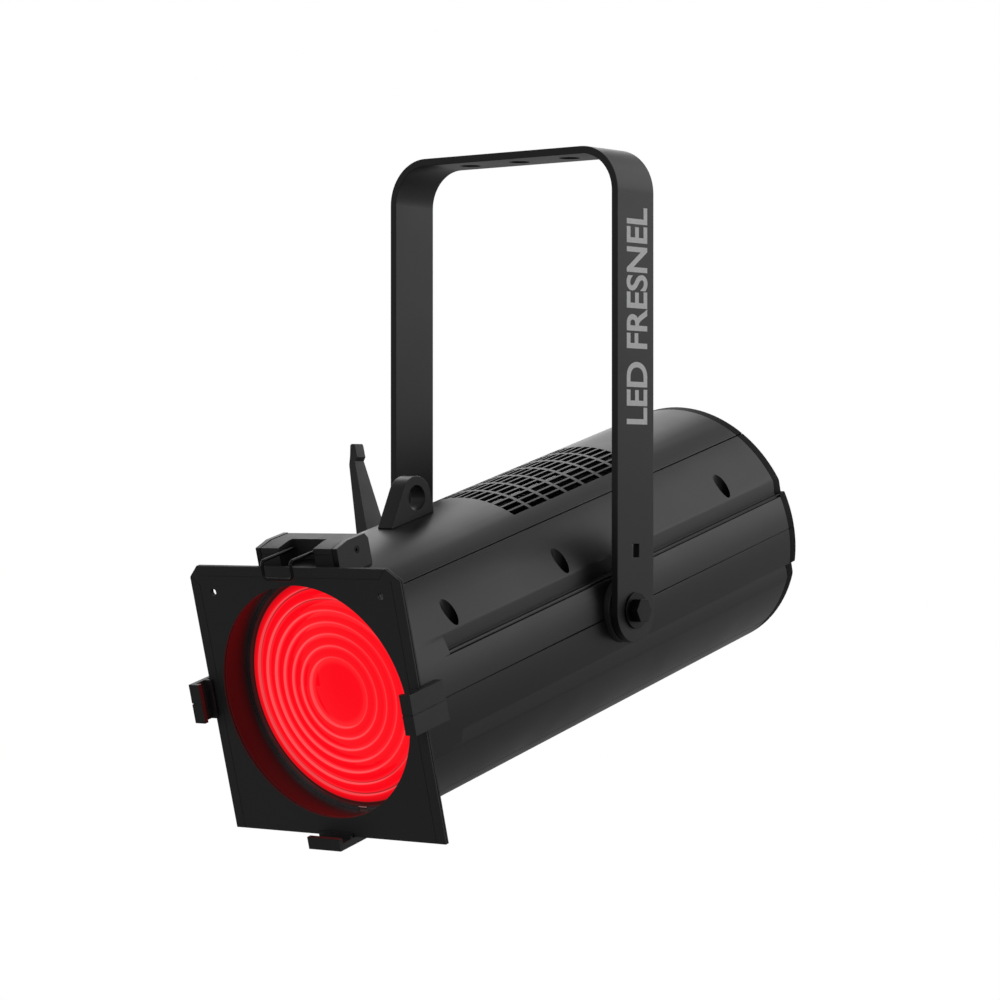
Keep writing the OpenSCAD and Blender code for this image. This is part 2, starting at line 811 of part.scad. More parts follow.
module fan_rotor() {
    w = heat_w / 2;
    color("#2a2a2c") head() union() {
        disc(17, fan_back + 3.6, sink_back - 2);
        for (k = [0:6]) rotate([0, 0, k * 360 / 7]) translate([15, 0, (fan_back + 3 + sink_back) / 2])
            rotate([38, 0, 0]) translate([0, -0.8, -8]) cube([w - 21.5, 1.6, 16]);
    }
}

module guide_rods() {
    color("#c4c6c9") head() for (p = rods) translate([p[0], p[1], 0])
        disc(rod_d / 2, -bulk_rear - bulk_t - 3, bulk_front + bulk_t + 2);
}

module lead_screw() {
    color("#b4b6b9") head() translate([0, screw_v, 0])
        disc(rod_d / 2, -bulk_rear - bulk_t - 18, carriage_u + 62);
}

module zoom_motor() {
    c = 17;
    w = 21;
    color("#26262a") head() translate([0, screw_v, 0]) difference() {
        union() {
            translate([0, 0, -bulk_rear - bulk_t - e - 34]) linear_extrude(34)
                polygon([[w, c], [c, w], [-c, w], [-w, c], [-w, -c], [-c, -w], [c, -w], [w, -c]]);
            disc(11, -bulk_rear - bulk_t - 1, -bulk_rear - bulk_t + 1.9);
        }
        disc((rod_d + run_clear) / 2, -bulk_rear - bulk_t - 20, -bulk_rear);
    }
}

// ---- electronics bay ----

module electronics_tray() {
    u1 = -bulk_rear - bulk_t - e;
    color("#8f9194") head() union() {
        block(-48, 48, -33, -31.5, psu_rear, u1);
        block(-48, 48, -33, -18, u1 - 1.5, u1);
    }
}

module power_supply() {
    u1 = -bulk_rear - bulk_t - 6;
    color("#a9abae") head() difference() {
        block(-46, 46, -31.5, 8, psu_rear + 2, u1);
        for (i = [0:7]) block(-34 + i * 9, -30 + i * 9, 6.5, 12, psu_rear + 14, u1 - 14);
    }
}

module driver_board() {
    u0 = psu_rear + 4;
    u1 = -bulk_rear - bulk_t - 8;
    mid = (u0 + u1) / 2;
    color("#1f6b3a") head() union() {
        block(-42, 42, 18, 19.6, u0, u1);
        for (s = [-1, 1]) for (u = [u0 + 5, u1 - 5]) translate([s * 38, 0, u]) upright(3, 8, 18.5);
        block(-30, -8, 19.5, 31, mid - 14, mid + 10);
        block(2, 16, 19.5, 24, mid - 8, mid + 8);
        for (x = [22, 33]) translate([x, 0, mid]) upright(4.5, 19.5, 36);
    }
}

module rear_cap() {
    color("#29292b") head() difference() {
        rotate_extrude() polygon([
            [body_r - rim_h, -rear_len], [body_r - 0.8, -rear_len], [body_r, -rear_len + 0.8],
            [body_r, cap_u], [body_r - rim_h, cap_u]]);
        for (s = [0, 1]) for (m = [0, 1]) mirror([s, 0, 0]) mirror([0, m, 0])
            block(flat_x, body_r + 5, flat_lo, flat_lo + 24, -rear_len - 5, cap_u + 5);
        for (a = [seam_ang, 180 - seam_ang, 180 + seam_ang, 360 - seam_ang]) rotate([0, 0, a])
            block(body_r - 1.6, body_r + 5, -seam_gap / 2, seam_gap / 2, -rear_len - 5, cap_u + 5);
        for (a = [0, 180]) rotate([0, 0, a])
            block(body_r - 0.6, body_r + 5, -mid_gap / 2, mid_gap / 2, -rear_len - 5, cap_u + 5);
    }
}

data_x = 34;
data_v = -16;
power_x = 22;
power_v = -54;
fuse_v = -18;
button_v = 20;

module rear_panel() {
    color("#232325") head() difference() {
        flats(cap_u, panel_u) disc(bulk_r, cap_u, panel_u);
        for (s = [-1, 1]) {
            translate([s * data_x, data_v, 0]) disc(11.2, cap_u - 5, panel_u + 5);
            translate([s * power_x, power_v, 0]) disc(13.2, cap_u - 5, panel_u + 5);
        }
        translate([0, fuse_v, 0]) disc(6.7, cap_u - 5, panel_u + 5);
        for (i = [0:3]) translate([(i - 1.5) * button_gap, button_v, 0])
            disc((button_d + button_clear) / 2, cap_u - 5, panel_u + 5);
        block(-30, 30, 34, 62, cap_u - 5, panel_u + 5);
        for (a = [30, 90, 150, 210, 270, 330]) rotate([0, 0, a]) translate([body_r - rim_h + 3.2, 0, 0])
            disc(1.6, cap_u - 5, panel_u + 5);
    }
}

module rear_screws() {
    color("#8b8d90") head() for (s = [-1, 1]) {
        for (x = [-9, 9]) for (y = [-12.5, 12.5])
            translate([s * data_x + x, data_v + y, 0]) disc(1.5, cap_u - 3.4, cap_u - 2);
    }
}

module display() {
    color("#0e1a22") head() union() {
        block(-35, 35, 30, 66, cap_u - 3, cap_u);
        block(-29.8, 29.8, 34.2, 61.8, cap_u - 1, panel_u + 6);
    }
}

module power_sockets() {
    color("#2c4f8a") head() for (s = [-1, 1]) translate([s * power_x, power_v, 0]) difference() {
        union() {
            block(-13, 13, -15.5, 15.5, cap_u - 2, cap_u);
            disc(12.5, cap_u - 6, cap_u - 1);
            disc(13, cap_u - 1, panel_u + 14);
        }
        ring(10.5, 5.5, cap_u - 7, cap_u + 10);
    }
}

module data_sockets() {
    color("#1b1b1d") head() for (s = [-1, 1]) translate([s * data_x, data_v, 0]) difference() {
        union() {
            block(-13, 13, -15.5, 15.5, cap_u - 2, cap_u);
            disc(11, cap_u - 3, panel_u + 14);
        }
        difference() {
            disc(9.4, cap_u - 7, cap_u + 10);
            for (a = [0, 50, 100, 260, 310]) rotate([0, 0, a])
                translate([5.4, 0, 0]) disc(1.1, cap_u - 1, cap_u + 12);
        }
    }
}

module fuse_holder() {
    color("#1b1b1d") head() translate([0, fuse_v, 0]) difference() {
        union() {
            disc(8.5, cap_u - 1.5, cap_u);
            disc(6.6, cap_u - 0.5, panel_u + 16);
        }
        disc(4.1, cap_u - 5, panel_u + 12);
    }
}

module fuse_cap() {
    color("#2a2a2c") head() translate([0, fuse_v, 0]) difference() {
        union() {
            disc(7.5, cap_u - 6, cap_u - 1.55);
            disc(4, cap_u - 2, panel_u + 10);
        }
        block(-5, 5, -0.8, 0.8, cap_u - 7, cap_u - 5);
    }
}

module button(i) {
    color("#3d3d40") head() translate([(i - 2.5) * button_gap, button_v, 0]) union() {
        disc(button_d / 2, cap_u - 3.5, panel_u + 0.3);
        disc(button_d / 2 + 1, panel_u + 0.2, panel_u + 1.6);
    }
}

module button_1() { button(1); }
module button_2() { button(2); }
module button_3() { button(3); }
module button_4() { button(4); }

// ---- every node, drawn alone or together ----

yoke();
top_cover();
side_upper_right();
side_upper_left();
side_lower_right();
side_lower_left();
bottom_cover();
panel_screws();
lens_barrel();
fresnel_lens();
lens_gasket();
lens_ring();
frame_clip_right();
frame_clip_left();
frame_clip_bottom();
latch_bracket();
latch_block();
latch_screws();
safety_lug();
front_bulkhead();
rear_bulkhead();
side_rails();
pivot_boss_right();
pivot_boss_left();
friction_discs();
pivot_bolt();
pivot_washer();
guide_rods();
zoom_motor();
electronics_tray();
power_supply();
driver_board();
rear_cap();
rear_panel();
rear_screws();
display();
power_sockets();
data_sockets();
fuse_holder();
carriage_plate();
carriage_bushes();
led_board();
led_emitters();
collector_optic();
heatsink();
fan_frame();
drive_nut();
fan_rotor();
lead_screw();
frame_leaf_front();
frame_leaf_back();
latch_wire();
clamp_lever();
clamp_stud();
button_1();
button_2();
button_3();
button_4();
fuse_cap();
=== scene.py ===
# %% [markdown]
# # A theatre Fresnel spotlight
# A round aluminium body hangs in a flat steel yoke. Red LEDs light a ringed lens behind a square
# colour frame. This lesson takes the working parts from a finished CAD model and gives each one a real
# finish, and it remakes the parts whose soft edges, folds and rings catch the light.
#
# The CAD model is a fixed frame: nothing in it moves here. Every length is in metres.

import json
import math

import bmesh
import bpy
from mathutils import Matrix, Vector


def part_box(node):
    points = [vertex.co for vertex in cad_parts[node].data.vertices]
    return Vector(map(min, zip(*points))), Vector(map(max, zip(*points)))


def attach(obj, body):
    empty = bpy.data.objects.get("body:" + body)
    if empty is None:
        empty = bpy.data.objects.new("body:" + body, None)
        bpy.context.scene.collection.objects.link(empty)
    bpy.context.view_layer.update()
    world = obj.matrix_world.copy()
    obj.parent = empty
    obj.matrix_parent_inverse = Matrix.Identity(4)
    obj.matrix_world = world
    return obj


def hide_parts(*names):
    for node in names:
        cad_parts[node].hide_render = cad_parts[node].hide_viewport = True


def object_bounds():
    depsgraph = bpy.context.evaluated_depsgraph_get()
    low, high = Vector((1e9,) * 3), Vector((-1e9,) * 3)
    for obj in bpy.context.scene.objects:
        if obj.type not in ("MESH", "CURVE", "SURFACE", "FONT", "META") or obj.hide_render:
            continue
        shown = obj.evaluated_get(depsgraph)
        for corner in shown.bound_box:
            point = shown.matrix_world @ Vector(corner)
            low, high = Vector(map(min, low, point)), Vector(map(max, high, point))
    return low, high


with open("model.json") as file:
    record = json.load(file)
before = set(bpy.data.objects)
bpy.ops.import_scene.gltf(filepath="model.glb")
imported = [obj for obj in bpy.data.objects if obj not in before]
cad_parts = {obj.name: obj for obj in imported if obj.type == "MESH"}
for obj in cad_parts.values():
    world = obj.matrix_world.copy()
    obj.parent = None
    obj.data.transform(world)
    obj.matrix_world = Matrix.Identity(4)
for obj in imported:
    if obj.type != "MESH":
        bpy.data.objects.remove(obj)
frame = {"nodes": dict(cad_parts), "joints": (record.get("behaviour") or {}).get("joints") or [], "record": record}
cad_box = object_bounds()
cad = frame["nodes"]
mm = 0.001
print("CAD parts:", len(cad))

# %% [markdown]
# ## The camera
# Everything is judged through the camera, so it comes first. It stands far away with a long lens, which
# keeps the body's sides nearly parallel. It is near the height of the head, to its right, 39 degrees
# round from the front.

# %% Place the camera
camera_azimuth = math.radians(38.83)
camera_height = math.radians(0.08)
camera_place = Vector((1.5111, -1.9000, -0.2484))


def camera_matrix(azimuth, height, place):
    """A camera at place that looks level towards the object, from azimuth round to the right."""
    level = math.cos(height)
    back = Vector((math.sin(azimuth) * level, -math.cos(azimuth) * level, math.sin(height)))
    right = Vector((math.cos(azimuth), math.sin(azimuth), 0))
    up = back.cross(right)
    turn = Matrix((right, up, back)).transposed()
    return Matrix.Translation(place) @ turn.to_4x4()


camera = bpy.data.objects.new("camera", bpy.data.cameras.new("camera"))
bpy.context.scene.collection.objects.link(camera)
camera.matrix_world = camera_matrix(camera_azimuth, camera_height, camera_place)
camera.data.lens = 119.8
camera.data.sensor_width = 36
camera.data.clip_end = 50
bpy.context.scene.camera = camera
print("camera lens:", camera.data.lens, "mm")

# %% [markdown]
# ## Helpers for finishes
# A material is a small graph of nodes. One helper adds a node, sets its values and joins its inputs, so
# each finish below reads as a short list. Colours are written as the sRGB hex values that a paint chart
# gives, and one function turns them into the linear numbers that light is worked out in.

# %% Colour and node helpers


def linear(hex_colour, alpha=1.0):
    """sRGB hex to linear red, green, blue and alpha."""
    parts = [int(hex_colour[i:i + 2], 16) / 255 for i in (1, 3, 5)]
    return [c / 12.92 if c <= 0.04045 else ((c + 0.055) / 1.055) ** 2.4 for c in parts] + [alpha]


def add(tree, kind, settings=None, **joins):
    """Adds a node. settings are properties, or input values by name or number; joins are inputs by name."""
    made = tree.nodes.new("ShaderNode" + kind)
    for key, value in (settings or {}).items():
        if isinstance(key, str) and hasattr(made, key):
            setattr(made, key, value)
        else:
            made.inputs[key].default_value = value
    for key, source in joins.items():
        tree.links.new(source, made.inputs[key.replace("_", " ")])
    return made


def new_material(name):
    """An empty material and its node tree."""
    material = bpy.data.materials.new(name)
    material.use_nodes = True
    material.node_tree.nodes.clear()
    return material, material.node_tree


def ramp(tree, source, stops):
    """A colour ramp on source; stops are (position, linear colour)."""
    made = add(tree, "ValToRGB", Fac=source)
    while len(made.color_ramp.elements) < len(stops):
        made.color_ramp.elements.new(0.5)
    for element, (position, colour) in zip(made.color_ramp.elements, stops):
        element.position = position
        element.color = colour
    return made.outputs["Color"]


def grain(tree, size_mm, detail=2.0, roughness=0.5):
    """Noise whose lumps are size_mm across, in the object's own space."""
    place = add(tree, "TexCoord").outputs["Object"]
    return add(tree, "TexNoise", {"Scale": 1 / (size_mm * mm), "Detail": detail, "Roughness": roughness},
               Vector=place).outputs["Fac"]


def grey(level):
    """A neutral linear colour."""
    return (level, level, level, 1)

# %% [markdown]
# ## Powder coat
# The yoke, the body and the colour frame are powder coated: dry polyester powder is baked on until it
# flows into a tough satin skin. It never flows quite flat. The skin keeps an orange peel of lumps about
# a millimetre across, and a finer grit, which break up every highlight. A dielectric with an IOR of 1.5
# and middling roughness gives the satin, and two noises on one bump give the skin.

# %% Powder coat finish


def powder_coat(name, hex_colour, roughness, peel_mm=1.1, peel_height=0.012, gloss=0.5):
    """Satin black polyester powder coat on metal, with orange peel and fine grit."""
    material, tree = new_material(name)
    peel = grain(tree, peel_mm, detail=1.0)
    grit = grain(tree, 0.35, detail=3.0)
    cloud = grain(tree, 45, detail=3.0)
    base = linear(hex_colour)
    low = [c * 0.86 for c in base[:3]] + [1]
    high = [c * 1.16 for c in base[:3]] + [1]
    colour = ramp(tree, grit, [(0.3, low), (0.7, high)])
    rough = add(tree, "MapRange", {"To Min": roughness - 0.05, "To Max": roughness + 0.07}, Value=cloud)
    lumps = add(tree, "Math", {"operation": "MULTIPLY_ADD", 1: 0.25}, Value=grit)
    tree.links.new(peel, lumps.inputs[2])
    bump = add(tree, "Bump", {"Strength": 0.6, "Distance": peel_height * mm}, Height=lumps.outputs["Value"])
    skin = add(tree, "BsdfPrincipled", {"IOR": 1.5, "Specular IOR Level": gloss}, Base_Color=colour,
               Roughness=rough.outputs["Result"], Normal=bump.outputs["Normal"])
    add(tree, "OutputMaterial", Surface=skin.outputs["BSDF"])
    return material


yoke_coat = powder_coat("powder coated steel, yoke", "#151516", 0.4)
body_coat = powder_coat("powder coated aluminium, body", "#121213", 0.36, peel_mm=0.9, gloss=0.58)
frame_coat = powder_coat("powder coated sheet, colour frame", "#373738", 0.5, peel_mm=0.8, gloss=0.4)
barrel_coat = powder_coat("matt black paint, lens barrel", "#29292a", 0.36, peel_mm=0.7)

# %% [markdown]
# ## Moulded nylon
# The clips, the latch, the lever and the rear rim are moulded in glass filled nylon. The mould is spark
# eroded, which prints a fine dull pebble on the part, and the glass fibres show as faint pale flecks.

# %% Moulded nylon finish


def moulded_nylon(name, hex_colour, roughness, gloss=0.5):
    """Glass filled nylon from a spark eroded mould: dull pebble, faint pale fibre flecks."""
    material, tree = new_material(name)
    place = add(tree, "TexCoord").outputs["Object"]
    pebble = add(tree, "TexVoronoi", {"Scale": 1 / (0.7 * mm), "feature": "SMOOTH_F1"}, Vector=place)
    fleck = grain(tree, 0.5, detail=4.0, roughness=0.7)
    base = linear(hex_colour)
    pale = [c * 1.5 + 0.004 for c in base[:3]] + [1]
    colour = ramp(tree, fleck, [(0.55, base), (0.8, pale)])
    bump = add(tree, "Bump", {"Strength": 0.5, "Distance": 0.014 * mm}, Height=pebble.outputs["Distance"])
    rough = add(tree, "MapRange", {"To Min": roughness - 0.05, "To Max": roughness + 0.08},
                Value=grain(tree, 12))
    skin = add(tree, "BsdfPrincipled", {"IOR": 1.53, "Specular IOR Level": gloss}, Base_Color=colour,
               Roughness=rough.outputs["Result"], Normal=bump.outputs["Normal"])
    add(tree, "OutputMaterial", Surface=skin.outputs["BSDF"])
    return material


clip_nylon = moulded_nylon("glass filled nylon, clips", "#2b2b2c", 0.45)
rim_nylon = moulded_nylon("glass filled nylon, rear rim", "#111112", 0.55, gloss=0.12)
key_nylon = moulded_nylon("glass filled nylon, keys", "#3c3c40", 0.5)
socket_nylon = moulded_nylon("glass filled nylon, blue sockets", "#1f4f96", 0.42)

# %% [markdown]
# ## Metals
# Bare metal takes its colour from its reflection, so metallic is 1 and the base colour is the metal's
# own. The way it was worked shows as streaks or clouds: a milled plate has fine straight tool lines, a
# turned part has a fine grain of tool marks, zinc plate has a cloudy passivated skin, and anodising dulls
# aluminium.

# %% Metal finishes


def worked_metal(name, hex_colour, roughness, stretch=(1, 1, 1), line_mm=0.4, depth=0.25):
    """Bare metal with tool marks. stretch squeezes the noise, so its lumps become lines along one axis."""
    material, tree = new_material(name)
    place = add(tree, "TexCoord").outputs["Object"]
    pulled = add(tree, "Mapping", {"Scale": stretch}, Vector=place).outputs["Vector"]
    lines = add(tree, "TexNoise", {"Scale": 1 / (line_mm * mm), "Detail": 3.0}, Vector=pulled).outputs["Fac"]
    cloud = grain(tree, 18, detail=3.0)
    base = linear(hex_colour)
    dull = [c * 0.78 for c in base[:3]] + [1]
    colour = ramp(tree, cloud, [(0.35, dull), (0.65, base)])
    rough = add(tree, "MapRange", {"To Min": roughness - 0.06, "To Max": roughness + 0.1}, Value=lines)
    bump = add(tree, "Bump", {"Strength": depth, "Distance": 0.01 * mm}, Height=lines)
    skin = add(tree, "BsdfPrincipled", {"Metallic": 1.0}, Base_Color=colour,
               Roughness=rough.outputs["Result"], Normal=bump.outputs["Normal"])
    add(tree, "OutputMaterial", Surface=skin.outputs["BSDF"])
    return material


zinc = worked_metal("zinc plated steel", "#c9ccd0", 0.3)
black_oxide = worked_metal("black oxide steel", "#3a3a3c", 0.36, line_mm=0.6)
milled = worked_metal("milled aluminium", "#c8cacc", 0.32, stretch=(1, 0.06, 0.06))
anodised = worked_metal("anodised aluminium", "#4a4c50", 0.42, stretch=(1, 0.1, 0.1))
bronze = worked_metal("turned bronze", "#b98c4a", 0.3, line_mm=0.3)
galvanised = worked_metal("galvanised steel", "#a3a6aa", 0.38, line_mm=2.5)
reflector = worked_metal("bright rolled aluminium", "#e6e8ea", 0.14, line_mm=0.8, depth=0.1)

# %% [markdown]
# ## Rubber, fibre, boards and screens
# The small inner finishes. Solder mask is a glossy lacquer over the weave of a glass board, friction
# discs are pressed fibre and resin, and the gasket is silicone with a soft bloom.

# %% Soft and electrical finishes


def plain_finish(name, hex_colour, second_hex, size_mm, roughness, height=0.01, coat=0.0):
    """A two-tone mottled dielectric, for rubber, fibre and lacquered boards."""
    material, tree = new_material(name)
    mottle = grain(tree, size_mm, detail=4.0, roughness=0.6)
    colour = ramp(tree, mottle, [(0.35, linear(hex_colour)), (0.65, linear(second_hex))])
    rough = add(tree, "MapRange", {"To Min": roughness - 0.05, "To Max": roughness + 0.05}, Value=mottle)
    bump = add(tree, "Bump", {"Strength": 0.4, "Distance": height * mm}, Height=mottle)
    skin = add(tree, "BsdfPrincipled", {"Coat Weight": coat, "Coat Roughness": 0.12}, Base_Color=colour,
               Roughness=rough.outputs["Result"], Normal=bump.outputs["Normal"])
    add(tree, "OutputMaterial", Surface=skin.outputs["BSDF"])
    return material


silicone = plain_finish("silicone gasket", "#151516", "#1e1e1f", 0.8, 0.62)
friction_fibre = plain_finish("pressed friction fibre", "#3a2c20", "#6b5844", 0.5, 0.8, height=0.03)
green_board = plain_finish("glass board, green solder mask", "#0b4a20", "#0f5a28", 0.7, 0.3, coat=0.5)
white_board = plain_finish("metal core board, white solder mask", "#dcdcd6", "#e8e8e2", 0.6, 0.35, coat=0.3)
screen_glass = plain_finish("display glass", "#05080c", "#070b10", 6, 0.08, height=0.001, coat=1.0)


def lit_plastic(name, hex_colour, strength):
    """A small lens of clear epoxy that glows with the die inside it."""
    material, tree = new_material(name)
    bright = linear(hex_colour)
    dim = [c * 0.7 for c in bright[:3]] + [1]
    glow = ramp(tree, grain(tree, 1.2), [(0.2, dim), (0.8, bright)])
    skin = add(tree, "BsdfPrincipled", {"Roughness": 0.12, "Emission Strength": strength}, Base_Color=glow,
               Emission_Color=glow)
    add(tree, "OutputMaterial", Surface=skin.outputs["BSDF"])
    return material


led_glow = lit_plastic("lit red emitter", "#ff2018", 0.6)

# %% [markdown]
# ## The lens, with its light painted on
# A Fresnel lens is pressed from glass: a domed eye, then rings that each lean like a slice of a thick
# lens. The red light from the carriage that shines through it is painted on the glass as emission: the
# rings glow red, each ridge carries a painted pale highlight, two outer riser walls carry painted dark
# lines, and the plain flange outside the rings is painted dim with a painted pale line at its edge. The
# rings have a real width, so the painted glow can find them from the distance to the axis: a Mapping
# node turns the object's space until Z is the optical axis. Only the front of the glass is painted glowing.

# %% Lens glass with painted glow
pivot = Vector(next(joint["pos_m"] for joint in frame["joints"] if joint["name"] == "head_tilt"))
tilt = math.radians(15)
head_place = Matrix.Translation(pivot) @ Matrix.Rotation(math.pi / 2 + tilt, 4, "X")
eye_radius = 25.2 * mm
ring_width = 8.25 * mm
ring_count = 6
rings_end = eye_radius + ring_count * ring_width
full_reach = 100 * mm


def along_axis(tree):
    """How far a point is from the optical axis, and how far forward, in metres."""
    place = add(tree, "TexCoord").outputs["Object"]
    level = add(tree, "Mapping", {"vector_type": "TEXTURE", "Location": pivot,
                                  "Rotation": (math.pi / 2 + tilt, 0, 0)}, Vector=place).outputs["Vector"]
    flat = add(tree, "VectorMath", {"operation": "MULTIPLY", 1: (1, 1, 0)})
    tree.links.new(level, flat.inputs[0])
    distance = add(tree, "VectorMath", {"operation": "LENGTH"}, Vector=flat.outputs["Vector"])
    return distance.outputs["Value"], add(tree, "SeparateXYZ", Vector=level).outputs["Z"]


def mixed(tree, kind, factor, first, second):
    """Two colours blended by a factor."""
    made = add(tree, "Mix", {"data_type": "RGBA", "blend_type": kind})
    for number, source in ((0, factor), (6, first), (7, second)):
        if isinstance(source, float):
            made.inputs[number].default_value = source
        else:
            tree.links.new(source, made.inputs[number])
    return made.outputs[2]


def glass_with_painted_glow(name, lens_floor):
    """Pressed glass with its red light painted on as emission: painted pale highlights along each ridge, painted
    dark lines on the outer riser walls, a painted dim flange, and no glow on the back.
    """
    material, tree = new_material(name)
    distance, forward = along_axis(tree)
    from_eye = add(tree, "Math", {"operation": "SUBTRACT", 1: eye_radius})
    tree.links.new(distance, from_eye.inputs[0])
    count = add(tree, "Math", {"operation": "DIVIDE", 1: ring_width})
    tree.links.new(from_eye.outputs["Value"], count.inputs[0])
    part = add(tree, "Math", {"operation": "FRACT"})
    tree.links.new(count.outputs["Value"], part.inputs[0])
    # Painted highlight: each ring is painted pale at its ridge and deep red between ridges.
    ridge = ramp(tree, part.outputs["Value"], [
        (0.0, linear("#ff6468")), (0.04, linear("#ff343c")), (0.14, linear("#fd0f1c")),
        (0.6, linear("#fc0718")), (0.85, linear("#ff1c28")), (0.985, linear("#ff5054"))])
    reach = add(tree, "MapRange", {"From Max": full_reach}, Value=distance).outputs["Result"]
    rings = ramp(tree, reach, [
        (0.0, grey(0.0)), (0.246, grey(0.0)), (0.254, grey(1.0)), (0.794, grey(1.0)), (0.800, grey(0.0))])
    # Painted light on the eye and the flange: bright red on the eye, painted dim on the flange, with a painted
    # pale line at its outer edge.
    plain = ramp(tree, reach, [
        (0.0, linear("#fd0015")), (0.2, linear("#fd0317")), (0.247, linear("#ff282e")),
        (0.796, linear("#d92a2e")), (0.806, linear("#3c1414")), (0.835, linear("#4a1a1a")),
        (0.842, linear("#b08884"))])
    # Painted shade: thin dark lines on the two outer riser walls, and a dimmer outermost ring.
    risers = ramp(tree, reach, [
        (0.0, grey(1.0)), (0.652, grey(1.0)), (0.658, grey(0.18)), (0.664, grey(1.0)),
        (0.732, grey(1.0)), (0.740, grey(0.10)), (0.748, grey(1.0)), (0.796, grey(0.7))])
    glow = mixed(tree, "MULTIPLY", 1.0, mixed(tree, "MIX", rings, plain, ridge), risers)
    # The painted glow fades out towards the back of the glass, so only the front is painted glowing.
    lit = add(tree, "MapRange", {"From Min": lens_floor + 1 * mm, "From Max": lens_floor + 6 * mm},
              Value=forward).outputs["Result"]
    glow = mixed(tree, "MULTIPLY", 1.0, glow, lit)
    ripple = grain(tree, 9, detail=1.0)
    bump = add(tree, "Bump", {"Strength": 0.3, "Distance": 0.05 * mm}, Height=ripple)
    skin = add(tree, "BsdfPrincipled", {"Base Color": linear("#300305"), "Roughness": 0.07, "IOR": 1.5,
                                        "Specular IOR Level": 0.3, "Coat Weight": 0.12,
                                        "Coat Roughness": 0.03, "Emission Strength": 1.0},
               Emission_Color=glow, Normal=bump.outputs["Normal"])
    add(tree, "OutputMaterial", Surface=skin.outputs["BSDF"])
    return material


def head_range(node, axis):
    """Lowest and highest place of a CAD part along one of the head's axes: 0 across, 1 up, 2 forward."""
    back = head_place.inverted()
    places = [(back @ vertex.co)[axis] for vertex in cad[node].data.vertices]
    return min(places), max(places)


lens_back = head_range("fresnel_lens", 2)[0]
lens_glass_painted_glow = glass_with_painted_glow("pressed borosilicate glass, painted red glow", lens_back)
print("lens rings:", ring_count)

# %% [markdown]
# ## Every CAD part gets a finish
# The record names a material slot for each part, so one table from slot to finish covers all of them,
# seen or hidden. Parts that are remade below copy the finish of the part that they stand for, apart from
# the rear rim, which is duller than the clips.

# %% Give the CAD parts their finishes
slot_finish = {
    "yoke_black": yoke_coat, "shell_black": body_coat, "dark_plastic": clip_nylon, "frame_black": frame_coat,
    "barrel_black": barrel_coat, "lens_red": lens_glass_painted_glow, "gasket_rubber": silicone, "zinc_steel": zinc,
    "black_steel": black_oxide, "plain_aluminium": milled, "anodised_aluminium": anodised,
    "bronze": bronze, "board_green": green_board, "board_white": white_board, "led_red": led_glow,
    "collector_silver": reflector, "friction_fibre": friction_fibre, "display_glass": screen_glass,
    "socket_blue": socket_nylon, "key_grey": key_nylon, "perforated_steel": galvanised}
slot_of = {part["node"]: part["material_slot"] for part in frame["record"]["subparts"]}
body_of = {node: body for body, nodes in frame["record"]["behaviour"]["bodies"].items() for node in nodes}
for node, part in cad.items():
    part.data.materials.clear()
    part.data.materials.append(slot_finish[slot_of[node]])
print("finished CAD parts:", len(cad), "finishes:", len(slot_finish))

# %% [markdown]
# ## Helpers for pieces
# A piece is a mesh that rides with a CAD body. Its place is in its mesh, so its object stays at the
# origin and a pattern on Object coordinates stays put. CAD edges are perfectly sharp and real ones never
# are: a press brake, a mould or a powder coat rounds them, and the thin line of light along a rounded
# edge is what makes metal look like metal. So the parts whose edges show are copied, their loose
# triangles are joined, flat faces are dissolved into one, and the edges are bevelled.

# %% Piece helpers


def finish_piece(name, form, body, finish, stands_for=(), crease=35, weighted=True):
    """Turns a bmesh into a piece: outward faces, smooth shading, one finish, and the body it rides on."""
    bmesh.ops.recalc_face_normals(form, faces=form.faces)
    mesh = bpy.data.meshes.new(name)
    form.to_mesh(mesh)
    form.free()
    for layer in ("custom_normal", "sharp_face", "sharp_edge"):
        if layer in mesh.attributes:
            mesh.attributes.remove(mesh.attributes[layer])
    mesh.shade_smooth()
    mesh.set_sharp_from_angle(angle=math.radians(crease))
    mesh.materials.clear()
    mesh.materials.append(finish)
    piece = bpy.data.objects.new(name, mesh)
    bpy.context.scene.collection.objects.link(piece)
    if weighted:
        even = piece.modifiers.new("even shading", "WEIGHTED_NORMAL")
        even.keep_sharp = True
    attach(piece, body)
    if stands_for:
        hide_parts(*stands_for)
    print(name, "faces:", len(mesh.polygons))


def joined_copy(node):
    """The CAD part's shape as a bmesh of whole faces, in place of loose triangles."""
    form = bmesh.new()
    form.from_mesh(cad[node].data)
    bmesh.ops.remove_doubles(form, verts=form.verts, dist=0.01 * mm)
    bmesh.ops.dissolve_limit(form, angle_limit=math.radians(0.6), verts=form.verts, edges=form.edges)
    return form


def round_edges(form, width_mm, shortest_mm=0.0):
    """Bevels the edges that turn by more than 50 degrees and are longer than shortest_mm."""
    sharp = [edge for edge in form.edges if edge.is_manifold and edge.calc_length() >= shortest_mm * mm
             and edge.calc_face_angle() > math.radians(50)]
    bmesh.ops.bevel(form, geom=sharp, offset=width_mm * mm, offset_type="OFFSET", segments=2,
                    profile=0.5, affect="EDGES", material=-1, clamp_overlap=True)


def eased(node, width_mm, shortest_mm=0.0, finish=None):
    """Replaces a CAD part with a copy whose edges are rounded to width_mm."""
    form = joined_copy(node)
    round_edges(form, width_mm, shortest_mm)
    finish_piece("eased_" + node, form, body_of[node],
                 finish or slot_finish[slot_of[node]], (node,))

# %% [markdown]
# ## Parts with rounded edges
# The yoke is flat bar, so its long edges are rolled round before it is bent. The moulded parts have the
# radius that lets them leave the mould, and the machined ones are broken by a file.

